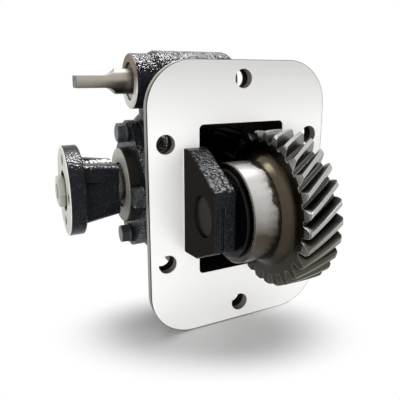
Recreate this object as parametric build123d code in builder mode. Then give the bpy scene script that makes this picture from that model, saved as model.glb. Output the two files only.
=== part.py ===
# Power take off unit for the side opening of a truck gearbox.
# Frame: origin at the middle of the bolt pattern, on the mounting face. X runs along the
# shafts, from the output flange towards the blind end, Y into the housing, Z up.
# All lengths are in millimetres and all angles in degrees.
import os
from math import acos, atan, cos, degrees, pi, radians, sin, sqrt, tan

from build123d import *

# Mounting flange and the window in it
PLATE_WIDTH = 127.2
PLATE_HEIGHT = 175.4
PLATE_CORNER = 29.0
PLATE_THICK = 12.0
PLATE_RIM = 6.0
SIDE_HOLES_X = 104.8
SIDE_HOLES_Z = 76.2
END_HOLES_Z = 152.4
PLATE_HOLE = 12.0
WINDOW_WIDTH = 61.0
WINDOW_HEIGHT = 97.8
WINDOW_CORNER = 3.0

# Helical gears in constant mesh
INPUT_TEETH = 28
OUTPUT_TEETH = 25
NORMAL_MODULE = 2.6
HELIX = 34.0
PRESSURE = 20.0
BACKLASH = 0.16
ADDENDUM = 1.0
DEDENDUM = 1.5
GEAR_LEFT = -1.8
GEAR_FACE = 22.0
TOOTH_BEVEL = 1.0
INPUT_PHASE = 4.5
HELIX_SECTIONS = 5

TRANSVERSE_MODULE = NORMAL_MODULE / cos(radians(HELIX))
TRANSVERSE_PRESSURE = atan(tan(radians(PRESSURE)) / cos(radians(HELIX)))
INPUT_PITCH = INPUT_TEETH * TRANSVERSE_MODULE / 2
OUTPUT_PITCH = OUTPUT_TEETH * TRANSVERSE_MODULE / 2
CENTRES = INPUT_PITCH + OUTPUT_PITCH
GEAR_RIGHT = GEAR_LEFT + GEAR_FACE

# Places of the three shafts in the Y-Z plane
IDLER_Y = -26.3
IDLER_Z = 0.0
OUTPUT_Z = 2.0
OUTPUT_Y = IDLER_Y + sqrt(CENTRES**2 - (OUTPUT_Z - IDLER_Z) ** 2)
ROD_Y = OUTPUT_Y
ROD_Z = 74.0
IDLER = (IDLER_Y, IDLER_Z)
OUTPUT = (OUTPUT_Y, OUTPUT_Z)
ROD = (ROD_Y, ROD_Z)
MESH_ANGLE = degrees(atan((OUTPUT_Z - IDLER_Z) / (OUTPUT_Y - IDLER_Y)))

# Ears that carry the idler shaft, and the hub of the input gear between them
EAR_THICK = 14.0
EAR_LEFT_X = -41.0
EAR_RIGHT_X = 24.2
EAR_NOSE_Y = -41.0
EAR_NOSE_HALF = 17.3
EAR_TOP = (-7.0, 35.0)
EAR_HEEL = (-17.0, -29.6)
EAR_HEEL_ROOT = -32.0
EAR_ROUND = 1.6
EAR_INNER_Y = 20.0
NOSE_GROOVE_X = -36.9
NOSE_GROOVE_WIDTH = 2.6
NOSE_GROOVE_DEPTH = 2.4
NOSE_GROOVE_TOP = 9.0
IDLER_SHAFT_R = 12.0
IDLER_BUSH_R = 15.0
IDLER_RECESS = 1.5
LOCK_PIN_R = 3.0
LOCK_PIN_END_Y = -13.0
WASHER_THICK = 2.4
WASHER_R = 26.0
HUB_R = 29.4
HUB_LEFT = -24.3
HUB_RIGHT = 21.5
HUB_FLARE_LEFT = -7.5
HUB_FLARE_R = 36.0

# Housing casting
CHAMBER_LEFT = -50.0
CHAMBER_RIGHT = 41.0
CHAMBER_R = 51.0
CHAMBER_ROUND = 6.0
CAVITY_R = 45.6
CAVITY_LEFT = -34.5
CAVITY_RIGHT = 22.5
THROAT_DEPTH = 44.0
THROAT_HALF_X = 41.0
THROAT_HALF_Z = 57.5
THROAT_INNER_Y = 36.0
BOSS_FACE_LEFT = -52.5
BOSS_DEPTH = 10.0
SEAT_CLEARANCE = 20.0
TUBE_R = 20.8
TUBE_LEFT = -42.4
TUBE_RIGHT = 20.0
TUBE_DOME = 9.0
TUBE_NOSE_R = 18.8
TUBE_NOSE_LEFT = -57.6
TUBE_NOSE_BEVEL = 0.8
TUBE_BLEND = 2.0
NECK_LEFT = -47.5
NECK_RIGHT = 11.0
NECK_HALF_Y = 19.0
NECK_ROUND = 8.0
POCKET_R = 15.5
POCKET_LEFT = -39.0
POCKET_RIGHT = -2.5
POCKET_HALF_Y = 14.5
ROD_BORE_END = 17.0

# Output shaft, tapered roller bearings and seal
BEARING_BORE_R = 12.5
BEARING_OUTER_R = 26.0
BEARING_WIDTH = 15.0
BEARING_LIP_R = 23.6
BEARING_ROLLERS = 11
ROLLER_R = 2.6
ROLLER_LENGTH = 10.0
ROLLER_TILT = 12.0
ROLLER_CENTRE_R = 19.0
LEFT_BEARING_X = -52.0
RIGHT_BEARING_X = 24.0
SPLINE_R = 10.0
SPLINE_COUNT = 10
SPLINE_DEPTH = 1.2
SPLINE_WIDTH = 2.6
SHAFT_COLLAR_R = 14.6
GEAR_SEAT_R = 14.0
BUSH_WALL = 2.0
WEB_OUTER_R = 32.0
WEB_INNER_R = 23.0
WEB_RECESS = 4.0
SHAFT_LEFT = -110.0
SHAFT_THREAD_R = 6.0
SHAFT_SHOULDER = -99.4
SHAFT_RIGHT = 42.6
SPLINE_LEFT = -101.0
SPLINE_RIGHT = -70.6
GEAR_SEAT_RIGHT = 20.6
SEAL_SLEEVE_R = 11.0
CIRCLIP_X = 39.3
CIRCLIP_THICK = 1.2
FIT = 0.04

# Bearing cap on the output side, a rounded square with a bolt at each corner, and the
# end cover
CAP_FACE_X = -66.6
CAP_FLANGE_X = -60.4
CAP_DISC_R = 26.6
CAP_FLATS = 75.0
CAP_CORNER = 18.0
CAP_BOLT_CIRCLE = 74.0
SEAL_R = 16.0
SEAL_WIDTH = 7.0
SEAL_RECESS = 1.2
GASKET = 0.5
M8_R = 4.0
M8_HEX = 12.0
M8_HEAD = 5.4
M8_WASHER = 2.0
M8_REACH = 22.0
TAPPED_DEPTH = 16.0
COVER_THICK = 8.0
SPIGOT_R = 25.9
SPIGOT_BORE_R = 20.0

# Companion flange
FLANGE_FACE_X = -105.0
FLANGE_R = 30.5
FLANGE_RIM = 10.2
FLANGE_HUB_END = -71.0
FLANGE_RECESS_R = 14.0
FLANGE_RECESS = 5.0
FLANGE_HOLE = 8.0
FLANGE_BOLT_CIRCLE = 42.0
FLANGE_HUB_WIDE = 20.0
FLANGE_HUB_NARROW = 17.2
SCALLOP_R = 10.5
SCALLOP_CENTRE_R = 25.5
NUT_HEX = 19.0
NUT_HEIGHT = 7.0

# Shift rod, fork and clutch sleeve
ROD_R = 8.5
ROD_LEFT = -93.8
ROD_RIGHT = 14.0
ROD_SHOULDER = -67.5
TANG_THICK = 8.0
TANG_CUTTER_R = 8.0
TANG_HOLE = 8.0
ROD_TRAVEL = 9.0
DETENT_X = -46.0
DETENT_BALL_R = 4.0
DETENT_GROOVE = 1.2
DETENT_BOSS_R = 11.0
DETENT_BOSS = 30.0
DETENT_PLUG_R = 7.0
DETENT_PLUG = 6.0
DETENT_HEX = 17.0
DETENT_SPRING_R = 2.6
DETENT_WIRE_R = 0.55
DETENT_PITCH = 2.2
ROD_SEAL_R = 13.0
ROD_SEAL_WIDTH = 5.0
ROD_SEAL_RECESS = 1.5
CLUTCH_TEETH = 16
CLUTCH_TIP_R = 21.0
CLUTCH_ROOT_R = 18.4
CLUTCH_GAP = 0.3
CLUTCH_LEFT = -32.5
CLUTCH_RIGHT = -11.8
GEAR_RING_LEFT = -10.6
SLEEVE_LEFT = -24.0
SLEEVE_LENGTH = 19.0
SLEEVE_R = 30.0
GROOVE_R = 25.0
GROOVE_LEFT = -17.8
GROOVE_WIDTH = 6.6
FORK_THICK = 6.0
FORK_GAP = 0.5
FORK_ARC_R = 33.5
FORK_ARM = 6.0
FORK_WEB = 18.0
FORK_PIN_X = -22.0
FORK_PIN_R = 2.5
FORK_HUB_R = 13.5
FORK_HUB_LEFT = -26.0
FORK_HUB_RIGHT = -5.0

os.makedirs("parts", exist_ok=True)


def across(x, centre=(0.0, 0.0), turn=0.0):
    """Plane square to the shafts at x, its local axes along Y and Z before the turn."""
    first_axis = (0, cos(radians(turn)), sin(radians(turn)))
    return Plane(origin=(x, centre[0], centre[1]), x_dir=first_axis, z_dir=(1, 0, 0))


def along(centre):
    """Plane through a shaft's axis, its local axes along X and Z."""
    return Plane(origin=(0, centre[0], centre[1]), x_dir=(1, 0, 0), z_dir=(0, -1, 0))


def axis_of(centre):
    """Axis of a shaft."""
    return Axis((0, centre[0], centre[1]), (1, 0, 0))


def keep(piece, name):
    """Label a finished piece and write its file."""
    piece.label = name
    export_step(piece, f"parts/{name}.step")


def ring(name, centre, left, width, outer, bore, bevel=0.0):
    """Plain turned ring on a shaft's axis."""
    with BuildPart() as piece:
        with BuildSketch(across(left, centre)):
            Circle(outer)
            Circle(bore, mode=Mode.SUBTRACT)
        extrude(amount=width)
        if bevel:
            chamfer(piece.edges().filter_by(GeomType.CIRCLE), bevel)
    keep(piece.part, name)
    return piece.part


def involute(angle):
    """Involute function of an angle in radians."""
    return tan(angle) - angle


def half_tooth(teeth, radius):
    """Half the angle, in radians, that one tooth fills at this radius."""
    pitch = teeth * TRANSVERSE_MODULE / 2
    base = pitch * cos(TRANSVERSE_PRESSURE)
    here = acos(min(1.0, base / max(radius, base)))
    thickness = pi * TRANSVERSE_MODULE / 2 - BACKLASH
    return thickness / (2 * pitch) + involute(TRANSVERSE_PRESSURE) - involute(here)


def polar(radius, angle):
    """Point at a radius and an angle in radians."""
    return (radius * cos(angle), radius * sin(angle))


def tooth_outline(teeth, index):
    """One tooth and the root beside it, as four arcs."""
    pitch = teeth * TRANSVERSE_MODULE / 2
    tip = pitch + ADDENDUM * NORMAL_MODULE
    root = pitch - DEDENDUM * NORMAL_MODULE
    step = 2 * pi / teeth
    middle = index * step
    heights = (root, (root + tip) / 2, tip)
    rising = [polar(r, middle - half_tooth(teeth, r)) for r in heights]
    falling = [polar(r, middle + half_tooth(teeth, r)) for r in reversed(heights)]
    ThreePointArc(*rising)
    ThreePointArc(rising[-1], polar(tip, middle), falling[0])
    ThreePointArc(*falling)
    next_root = polar(root, middle + step - half_tooth(teeth, root))
    ThreePointArc(falling[-1], polar(root, middle + step / 2), next_root)


def helical_teeth(teeth, centre, hand, first_angle):
    """Toothed cylinder whose first tooth stands at first_angle halfway along the face."""
    twist = hand * degrees(GEAR_FACE * tan(radians(HELIX)) / (teeth * TRANSVERSE_MODULE / 2))
    with BuildPart() as toothed:
        for section in range(HELIX_SECTIONS):
            share = section / (HELIX_SECTIONS - 1)
            turn = first_angle + twist * (share - 0.5)
            with BuildSketch(across(GEAR_LEFT + GEAR_FACE * share, centre, turn)):
                with BuildLine():
                    for index in range(teeth):
                        tooth_outline(teeth, index)
                make_face()
        loft()
    return toothed.part


def clutch_splines(outer, inner, gap):
    """Straight-sided clutch teeth, in the open sketch."""
    Circle(inner)
    width = pi * (CLUTCH_TIP_R + CLUTCH_ROOT_R) / 2 / CLUTCH_TEETH - gap
    with PolarLocations((outer + inner) / 2 - 0.5, CLUTCH_TEETH):
        Rectangle(outer - inner + 1.0, width)


def cap_outline():
    """Rounded square standing on one corner, shared by the caps, gaskets and bosses."""
    with BuildSketch() as outline:
        RectangleRounded(CAP_FLATS, CAP_FLATS, CAP_CORNER, rotation=45)
    return outline.sketch


def behind_rod(distance):
    """Plane of the detent, behind the rod at this distance from its axis, facing back."""
    return Plane(origin=(DETENT_X, ROD_Y + distance, ROD_Z), x_dir=(1, 0, 0), z_dir=(0, 1, 0))


def lock_pin_plane():
    """Plane of the lock pin's outer end, on the nose of the right ear, facing back."""
    return Plane(origin=(EAR_RIGHT_X + EAR_THICK / 2, EAR_NOSE_Y, 0), x_dir=(1, 0, 0), z_dir=(0, 1, 0))


def bevelled_blank(centre, tip):
    """Turned blank of a gear, its outer corners bevelled."""
    with BuildPart() as blank:
        with BuildSketch(along(centre)):
            with BuildLine():
                Polyline(
                    (GEAR_LEFT, 0),
                    (GEAR_LEFT, tip - TOOTH_BEVEL),
                    (GEAR_LEFT + TOOTH_BEVEL, tip + 0.1),
                    (GEAR_RIGHT - TOOTH_BEVEL, tip + 0.1),
                    (GEAR_RIGHT, tip - TOOTH_BEVEL),
                    (GEAR_RIGHT, 0),
                    close=True,
                )
            make_face()
        revolve(axis=axis_of(centre))
    return blank.part


# Housing: one iron casting with the mounting flange, the gear chamber, the two ears
# and the shift tube
MOUNTING_FACE = Plane.XZ
with BuildPart() as housing:
    # Ears, with softly rounded cast edges
    for ear_x in (EAR_LEFT_X, EAR_RIGHT_X):
        with BuildSketch(across(ear_x)):
            with BuildLine():
                Polyline(
                    (EAR_INNER_Y, EAR_TOP[1]),
                    EAR_TOP,
                    (EAR_NOSE_Y, EAR_NOSE_HALF),
                    (EAR_NOSE_Y, -EAR_NOSE_HALF),
                    EAR_HEEL,
                    (0, EAR_HEEL_ROOT),
                    (EAR_INNER_Y, EAR_HEEL_ROOT),
                    close=True,
                )
            make_face()
        extrude(amount=EAR_THICK)
    fillet(housing.edges().filter_by(Axis.X).group_by(Axis.Y)[0], 3.0)
    front_edges = housing.edges().filter_by_position(Axis.Y, -60, -0.01)
    fillet(front_edges, EAR_ROUND)

    # Mounting flange, its back edge sloped
    with BuildSketch(MOUNTING_FACE):
        RectangleRounded(PLATE_WIDTH, PLATE_HEIGHT, PLATE_CORNER)
    extrude(amount=-PLATE_RIM)
    with BuildSketch(MOUNTING_FACE.offset(-PLATE_RIM)):
        RectangleRounded(PLATE_WIDTH, PLATE_HEIGHT, PLATE_CORNER)
    extrude(amount=-(PLATE_THICK - PLATE_RIM), taper=40)

    # Throat behind the window, and the chamber round the output gear
    with BuildSketch(MOUNTING_FACE.offset(-PLATE_RIM)):
        RectangleRounded(2 * THROAT_HALF_X, 2 * THROAT_HALF_Z, 10)
    extrude(amount=-(THROAT_DEPTH - PLATE_RIM))
    with BuildSketch(along(OUTPUT)) as chamber_half:
        with Locations(((CHAMBER_LEFT + CHAMBER_RIGHT) / 2, CHAMBER_R / 2)):
            Rectangle(CHAMBER_RIGHT - CHAMBER_LEFT, CHAMBER_R)
        fillet(chamber_half.vertices().group_by(Axis.Y)[-1], CHAMBER_ROUND)
    revolve(axis=axis_of(OUTPUT))

    # Shift tube over the chamber, on a neck that is nearly as wide
    with BuildSketch(Plane(origin=((NECK_LEFT + NECK_RIGHT) / 2, ROD_Y, OUTPUT_Z))):
        RectangleRounded(NECK_RIGHT - NECK_LEFT, 2 * NECK_HALF_Y, NECK_ROUND)
    extrude(amount=ROD_Z - OUTPUT_Z)
    with BuildSketch(along(ROD)):
        with BuildLine():
            Polyline(
                (TUBE_RIGHT, 0),
                (TUBE_NOSE_LEFT, 0),
                (TUBE_NOSE_LEFT, TUBE_NOSE_R - TUBE_NOSE_BEVEL),
                (TUBE_NOSE_LEFT + TUBE_NOSE_BEVEL, TUBE_NOSE_R),
                (TUBE_LEFT - TUBE_BLEND, TUBE_NOSE_R),
                (TUBE_LEFT + TUBE_BLEND, TUBE_R),
                (TUBE_RIGHT - TUBE_DOME, TUBE_R),
            )
            RadiusArc((TUBE_RIGHT - TUBE_DOME, TUBE_R), (TUBE_RIGHT, TUBE_R - TUBE_DOME), TUBE_DOME)
            Line((TUBE_RIGHT, TUBE_R - TUBE_DOME), (TUBE_RIGHT, 0))
        make_face()
    revolve(axis=axis_of(ROD))
    with BuildSketch(behind_rod(0)):
        Circle(DETENT_BOSS_R)
    extrude(amount=DETENT_BOSS)

    # Bosses for the bearing cap and the end cover
    for face_x, depth in ((BOSS_FACE_LEFT, BOSS_DEPTH), (CHAMBER_RIGHT, -BOSS_DEPTH)):
        with BuildSketch(across(face_x, OUTPUT)):
            add(cap_outline())
        extrude(amount=depth)

    # Machined clearance for the cap and the cover beside the flange
    for face_x, depth in ((BOSS_FACE_LEFT, -SEAT_CLEARANCE), (CHAMBER_RIGHT, SEAT_CLEARANCE)):
        with BuildSketch(across(face_x, OUTPUT)):
            add(cap_outline())
            offset(amount=0.8)
        extrude(amount=depth, mode=Mode.SUBTRACT)

    # Cavities: window and throat, chamber, fork pocket
    with BuildSketch(MOUNTING_FACE):
        RectangleRounded(WINDOW_WIDTH, WINDOW_HEIGHT, WINDOW_CORNER)
    extrude(amount=-THROAT_INNER_Y, mode=Mode.SUBTRACT)
    with BuildSketch(across(CAVITY_LEFT, OUTPUT)):
        Circle(CAVITY_R)
    extrude(amount=CAVITY_RIGHT - CAVITY_LEFT, mode=Mode.SUBTRACT)
    with BuildSketch(across(POCKET_LEFT, ROD)):
        Circle(POCKET_R)
        with Locations((0, (OUTPUT_Z + CAVITY_R - 8 - ROD_Z) / 2)):
            Rectangle(2 * POCKET_HALF_Y, ROD_Z - OUTPUT_Z - CAVITY_R + 8)
    extrude(amount=POCKET_RIGHT - POCKET_LEFT, mode=Mode.SUBTRACT)

    # Bores for the bearings, the rod, the idler shaft and the detent
    with BuildSketch(across(BOSS_FACE_LEFT, OUTPUT)):
        Circle(BEARING_OUTER_R + FIT)
    extrude(amount=LEFT_BEARING_X + BEARING_WIDTH - BOSS_FACE_LEFT, mode=Mode.SUBTRACT)
    with BuildSketch(across(RIGHT_BEARING_X, OUTPUT)):
        Circle(BEARING_OUTER_R + FIT)
    extrude(amount=CHAMBER_RIGHT - RIGHT_BEARING_X, mode=Mode.SUBTRACT)
    with BuildSketch(across(BOSS_FACE_LEFT, OUTPUT)):
        Circle(BEARING_LIP_R)
    extrude(amount=CHAMBER_RIGHT - BOSS_FACE_LEFT, mode=Mode.SUBTRACT)
    with BuildSketch(across(TUBE_NOSE_LEFT, ROD)):
        Circle(ROD_SEAL_R + FIT)
    extrude(amount=ROD_SEAL_WIDTH + ROD_SEAL_RECESS, mode=Mode.SUBTRACT)
    with BuildSketch(across(TUBE_NOSE_LEFT, ROD)):
        Circle(ROD_R + FIT)
    extrude(amount=ROD_BORE_END - TUBE_NOSE_LEFT, mode=Mode.SUBTRACT)
    with BuildSketch(across(EAR_LEFT_X, IDLER)):
        Circle(IDLER_SHAFT_R + FIT)
    extrude(amount=EAR_RIGHT_X + EAR_THICK - EAR_LEFT_X, mode=Mode.SUBTRACT)
    with BuildSketch(behind_rod(0)):
        Circle(DETENT_BALL_R + FIT)
    extrude(amount=DETENT_BOSS, mode=Mode.SUBTRACT)
    with BuildSketch(behind_rod(DETENT_BOSS - DETENT_PLUG)):
        Circle(DETENT_PLUG_R + FIT)
    extrude(amount=DETENT_PLUG, mode=Mode.SUBTRACT)
    with BuildSketch(lock_pin_plane()):
        Circle(LOCK_PIN_R + FIT)
    extrude(amount=LOCK_PIN_END_Y - EAR_NOSE_Y, mode=Mode.SUBTRACT)

    # Holes in the mounting flange
    with Locations(MOUNTING_FACE):
        with GridLocations(SIDE_HOLES_X, SIDE_HOLES_Z, 2, 2):
            Hole(PLATE_HOLE / 2, depth=PLATE_THICK + 10)
        with GridLocations(0, END_HOLES_Z, 1, 2):
            Hole(PLATE_HOLE / 2, depth=PLATE_THICK + 2)

    # Tapped holes for the cap and cover bolts
    for face_x, depth in ((BOSS_FACE_LEFT, TAPPED_DEPTH), (CHAMBER_RIGHT, -TAPPED_DEPTH)):
        with BuildSketch(across(face_x, OUTPUT)):
            with PolarLocations(CAP_BOLT_CIRCLE / 2, 4):
                Circle(M8_R + 0.1)
        extrude(amount=depth, mode=Mode.SUBTRACT)

    # Groove down the nose of the left ear
    with BuildSketch(Plane(origin=(0, EAR_NOSE_Y, 0), x_dir=(1, 0, 0), z_dir=(0, -1, 0))):
        with Locations((NOSE_GROOVE_X + NOSE_GROOVE_WIDTH / 2, NOSE_GROOVE_TOP - 20)):
            Rectangle(NOSE_GROOVE_WIDTH, 40)
    extrude(amount=-NOSE_GROOVE_DEPTH, mode=Mode.SUBTRACT)
keep(housing.part, "housing")

# Idler shaft, fixed in both ears by a pin through the right one
with BuildPart() as idler_shaft:
    with BuildSketch(across(EAR_LEFT_X + IDLER_RECESS, IDLER)):
        Circle(IDLER_SHAFT_R)
    extrude(amount=EAR_RIGHT_X + EAR_THICK - EAR_LEFT_X - 2 * IDLER_RECESS)
    chamfer(idler_shaft.edges().filter_by(GeomType.CIRCLE), 1)
    with BuildSketch(lock_pin_plane()):
        Circle(LOCK_PIN_R + FIT)
    extrude(amount=LOCK_PIN_END_Y - EAR_NOSE_Y, mode=Mode.SUBTRACT)
keep(idler_shaft.part, "idler_shaft")

with BuildPart() as lock_pin:
    with BuildSketch(lock_pin_plane().offset(0.5)):
        Circle(LOCK_PIN_R)
    extrude(amount=LOCK_PIN_END_Y - EAR_NOSE_Y - 1)
    chamfer(lock_pin.edges().filter_by(GeomType.CIRCLE), 0.6)
keep(lock_pin.part, "idler_lock_pin")

LEFT_WASHER_X = HUB_LEFT - 0.1 - WASHER_THICK
RIGHT_WASHER_X = HUB_RIGHT + 0.1
for washer_name, washer_x in (("idler_left_washer", LEFT_WASHER_X), ("idler_right_washer", RIGHT_WASHER_X)):
    ring(washer_name, IDLER, washer_x, WASHER_THICK, WASHER_R, IDLER_SHAFT_R + FIT, bevel=0.4)

# Input gear: helical teeth at the right of a long ground hub
INPUT_TIP = INPUT_PITCH + ADDENDUM * NORMAL_MODULE
with BuildPart() as input_gear:
    add(helical_teeth(INPUT_TEETH, IDLER, -1, MESH_ANGLE + INPUT_PHASE))
    add(bevelled_blank(IDLER, INPUT_TIP), mode=Mode.INTERSECT)
    with BuildSketch(along(IDLER)):
        with BuildLine():
            Polyline(
                (HUB_FLARE_LEFT, HUB_R),
                (HUB_LEFT + 0.8, HUB_R),
                (HUB_LEFT, HUB_R - 0.8),
                (HUB_LEFT, IDLER_BUSH_R),
                (HUB_RIGHT, IDLER_BUSH_R),
                (HUB_RIGHT, HUB_R),
                (GEAR_RIGHT - 1, HUB_R),
                (GEAR_RIGHT - 1, HUB_FLARE_R),
                (GEAR_LEFT, HUB_FLARE_R),
            )
            flare = GEAR_LEFT - HUB_FLARE_LEFT
            ThreePointArc(
                (GEAR_LEFT, HUB_FLARE_R),
                (GEAR_LEFT - flare * 0.3, HUB_R + (HUB_FLARE_R - HUB_R) * 0.3),
                (HUB_FLARE_LEFT, HUB_R),
            )
        make_face()
    revolve(axis=axis_of(IDLER))
    with BuildSketch(across(HUB_LEFT, IDLER)):
        Circle(IDLER_BUSH_R + FIT)
    extrude(amount=HUB_RIGHT - HUB_LEFT, mode=Mode.SUBTRACT)
keep(input_gear.part, "input_gear")
ring("idler_bush", IDLER, HUB_LEFT, HUB_RIGHT - HUB_LEFT, IDLER_BUSH_R, IDLER_SHAFT_R + FIT, bevel=0.5)

# Output gear: free on its bush, with clutch teeth on its left
OUTPUT_TIP = OUTPUT_PITCH + ADDENDUM * NORMAL_MODULE
OUTPUT_PHASE = 180 + MESH_ANGLE - INPUT_PHASE * INPUT_TEETH / OUTPUT_TEETH + 180 / OUTPUT_TEETH
with BuildPart() as output_gear:
    add(helical_teeth(OUTPUT_TEETH, OUTPUT, 1, OUTPUT_PHASE))
    add(bevelled_blank(OUTPUT, OUTPUT_TIP), mode=Mode.INTERSECT)
    with BuildSketch(across(GEAR_LEFT, OUTPUT)):
        Circle(WEB_OUTER_R)
        Circle(WEB_INNER_R, mode=Mode.SUBTRACT)
    extrude(amount=WEB_RECESS, mode=Mode.SUBTRACT)
    with BuildSketch(across(GEAR_RING_LEFT, OUTPUT)):
        clutch_splines(CLUTCH_TIP_R, CLUTCH_ROOT_R, CLUTCH_GAP)
    extrude(amount=GEAR_LEFT - GEAR_RING_LEFT)
    with BuildSketch(across(GEAR_RING_LEFT, OUTPUT)):
        Circle(GEAR_SEAT_R + BUSH_WALL + FIT)
    extrude(amount=GEAR_RIGHT - GEAR_RING_LEFT, mode=Mode.SUBTRACT)
keep(output_gear.part, "output_gear")
BUSH_LENGTH = GEAR_RIGHT - GEAR_RING_LEFT
ring("output_gear_bush", OUTPUT, GEAR_RING_LEFT, BUSH_LENGTH, GEAR_SEAT_R + BUSH_WALL, GEAR_SEAT_R + FIT)

# Output shaft, with its clutch teeth and the splines for the flange
with BuildPart() as output_shaft:
    with BuildSketch(along(OUTPUT)):
        with BuildLine():
            Polyline(
                (SHAFT_LEFT, 0),
                (SHAFT_LEFT, SHAFT_THREAD_R - 1),
                (SHAFT_LEFT + 1, SHAFT_THREAD_R),
                (SHAFT_SHOULDER, SHAFT_THREAD_R),
                (SHAFT_SHOULDER, SPLINE_R),
                (LEFT_BEARING_X, SPLINE_R),
                (LEFT_BEARING_X, BEARING_BORE_R),
                (LEFT_BEARING_X + BEARING_WIDTH, BEARING_BORE_R),
                (LEFT_BEARING_X + BEARING_WIDTH, SHAFT_COLLAR_R),
                (CLUTCH_LEFT, SHAFT_COLLAR_R),
                (CLUTCH_LEFT, CLUTCH_ROOT_R - 1),
                (CLUTCH_RIGHT, CLUTCH_ROOT_R - 1),
                (CLUTCH_RIGHT, GEAR_SEAT_R),
                (GEAR_SEAT_RIGHT, GEAR_SEAT_R),
                (GEAR_SEAT_RIGHT, BEARING_BORE_R),
                (CIRCLIP_X, BEARING_BORE_R),
                (CIRCLIP_X, BEARING_BORE_R - 0.8),
                (CIRCLIP_X + CIRCLIP_THICK + 0.1, BEARING_BORE_R - 0.8),
                (CIRCLIP_X + CIRCLIP_THICK + 0.1, BEARING_BORE_R),
                (SHAFT_RIGHT - 1, BEARING_BORE_R),
                (SHAFT_RIGHT, BEARING_BORE_R - 1),
                (SHAFT_RIGHT, 0),
                close=True,
            )
        make_face()
    revolve(axis=axis_of(OUTPUT))
    with BuildSketch(across(CLUTCH_LEFT, OUTPUT)):
        clutch_splines(CLUTCH_TIP_R, CLUTCH_ROOT_R, CLUTCH_GAP)
    extrude(amount=CLUTCH_RIGHT - CLUTCH_LEFT)
    with BuildSketch(across(SPLINE_LEFT, OUTPUT)):
        with PolarLocations(SPLINE_R, SPLINE_COUNT):
            Rectangle(2 * SPLINE_DEPTH, SPLINE_WIDTH)
    extrude(amount=SPLINE_RIGHT - SPLINE_LEFT, mode=Mode.SUBTRACT)
keep(output_shaft.part, "output_shaft")

ring("gear_left_washer", OUTPUT, CLUTCH_RIGHT + 0.1, 0.9, 17.6, GEAR_SEAT_R + FIT)
ring("gear_right_washer", OUTPUT, GEAR_SEAT_RIGHT + FIT, 3.2, 20, BEARING_BORE_R + FIT, bevel=0.5)
SEAL_SLEEVE_LENGTH = LEFT_BEARING_X - FLANGE_HUB_END - 2 * FIT
ring("seal_sleeve", OUTPUT, FLANGE_HUB_END + FIT, SEAL_SLEEVE_LENGTH, SEAL_SLEEVE_R, SPLINE_R + FIT)


def bearing(name, left, slope):
    """Tapered roller bearing, its rollers spreading towards +X where slope is 1."""
    middle = left + BEARING_WIDTH / 2
    rise = slope * tan(radians(ROLLER_TILT)) * BEARING_WIDTH / 2
    reach = ROLLER_R / cos(radians(ROLLER_TILT)) + FIT
    right = left + BEARING_WIDTH
    with BuildPart() as cup:
        with BuildSketch(along(OUTPUT)):
            with BuildLine():
                Polyline(
                    (left, BEARING_OUTER_R),
                    (right, BEARING_OUTER_R),
                    (right, ROLLER_CENTRE_R + rise + reach),
                    (left, ROLLER_CENTRE_R - rise + reach),
                    close=True,
                )
            make_face()
        revolve(axis=axis_of(OUTPUT))
    keep(cup.part, name + "_cup")
    with BuildPart() as cone:
        with BuildSketch(along(OUTPUT)):
            with BuildLine():
                Polyline(
                    (left, BEARING_BORE_R + FIT),
                    (right, BEARING_BORE_R + FIT),
                    (right, ROLLER_CENTRE_R + rise - reach),
                    (left, ROLLER_CENTRE_R - rise - reach),
                    close=True,
                )
            make_face()
        revolve(axis=axis_of(OUTPUT))
    keep(cone.part, name + "_cone")
    with BuildPart() as rollers:
        for index in range(BEARING_ROLLERS):
            angle = 2 * pi * index / BEARING_ROLLERS
            lean = slope * sin(radians(ROLLER_TILT))
            direction = Vector(cos(radians(ROLLER_TILT)), lean * cos(angle), lean * sin(angle))
            spoke = Vector(0, ROLLER_CENTRE_R * cos(angle), ROLLER_CENTRE_R * sin(angle))
            start = Vector(middle, OUTPUT_Y, OUTPUT_Z) + spoke - direction * (ROLLER_LENGTH / 2)
            with BuildSketch(Plane(origin=start, z_dir=direction)):
                Circle(ROLLER_R)
            extrude(amount=ROLLER_LENGTH)
    keep(rollers.part, name + "_rollers")


bearing("left_bearing", LEFT_BEARING_X, 1)
bearing("right_bearing", RIGHT_BEARING_X, -1)

with BuildPart() as circlip:
    with BuildSketch(across(CIRCLIP_X + 0.05, OUTPUT)):
        Circle(BEARING_BORE_R + 2.2)
        Circle(BEARING_BORE_R - 0.6, mode=Mode.SUBTRACT)
        with Locations((BEARING_BORE_R, 0)):
            Rectangle(8, 5, mode=Mode.SUBTRACT)
    extrude(amount=CIRCLIP_THICK)
keep(circlip.part, "shaft_circlip")


def bolt_group(name, seat_x, side):
    """Four hexagon bolts with their heads on the side that side gives, and spring washers."""
    with BuildPart() as bolts:
        with BuildSketch(across(seat_x + side * M8_WASHER, OUTPUT)):
            with PolarLocations(CAP_BOLT_CIRCLE / 2, 4):
                RegularPolygon(M8_HEX / 2, 6, major_radius=False)
        extrude(amount=side * M8_HEAD)
        chamfer(bolts.faces().filter_by(Axis.X).group_by(Axis.X)[-1 if side > 0 else 0].edges(), 0.7)
        with BuildSketch(across(seat_x + side * M8_WASHER, OUTPUT)):
            with PolarLocations(CAP_BOLT_CIRCLE / 2, 4):
                Circle(M8_R)
        extrude(amount=-side * M8_REACH)
    keep(bolts.part, name + "_bolts")
    with BuildPart() as washers:
        with BuildSketch(across(seat_x, OUTPUT)):
            with PolarLocations(CAP_BOLT_CIRCLE / 2, 4):
                Circle(M8_HEX / 2 + 0.9)
                Circle(M8_R + 0.2, mode=Mode.SUBTRACT)
        extrude(amount=side * M8_WASHER)
    keep(washers.part, name + "_spring_washers")


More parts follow.
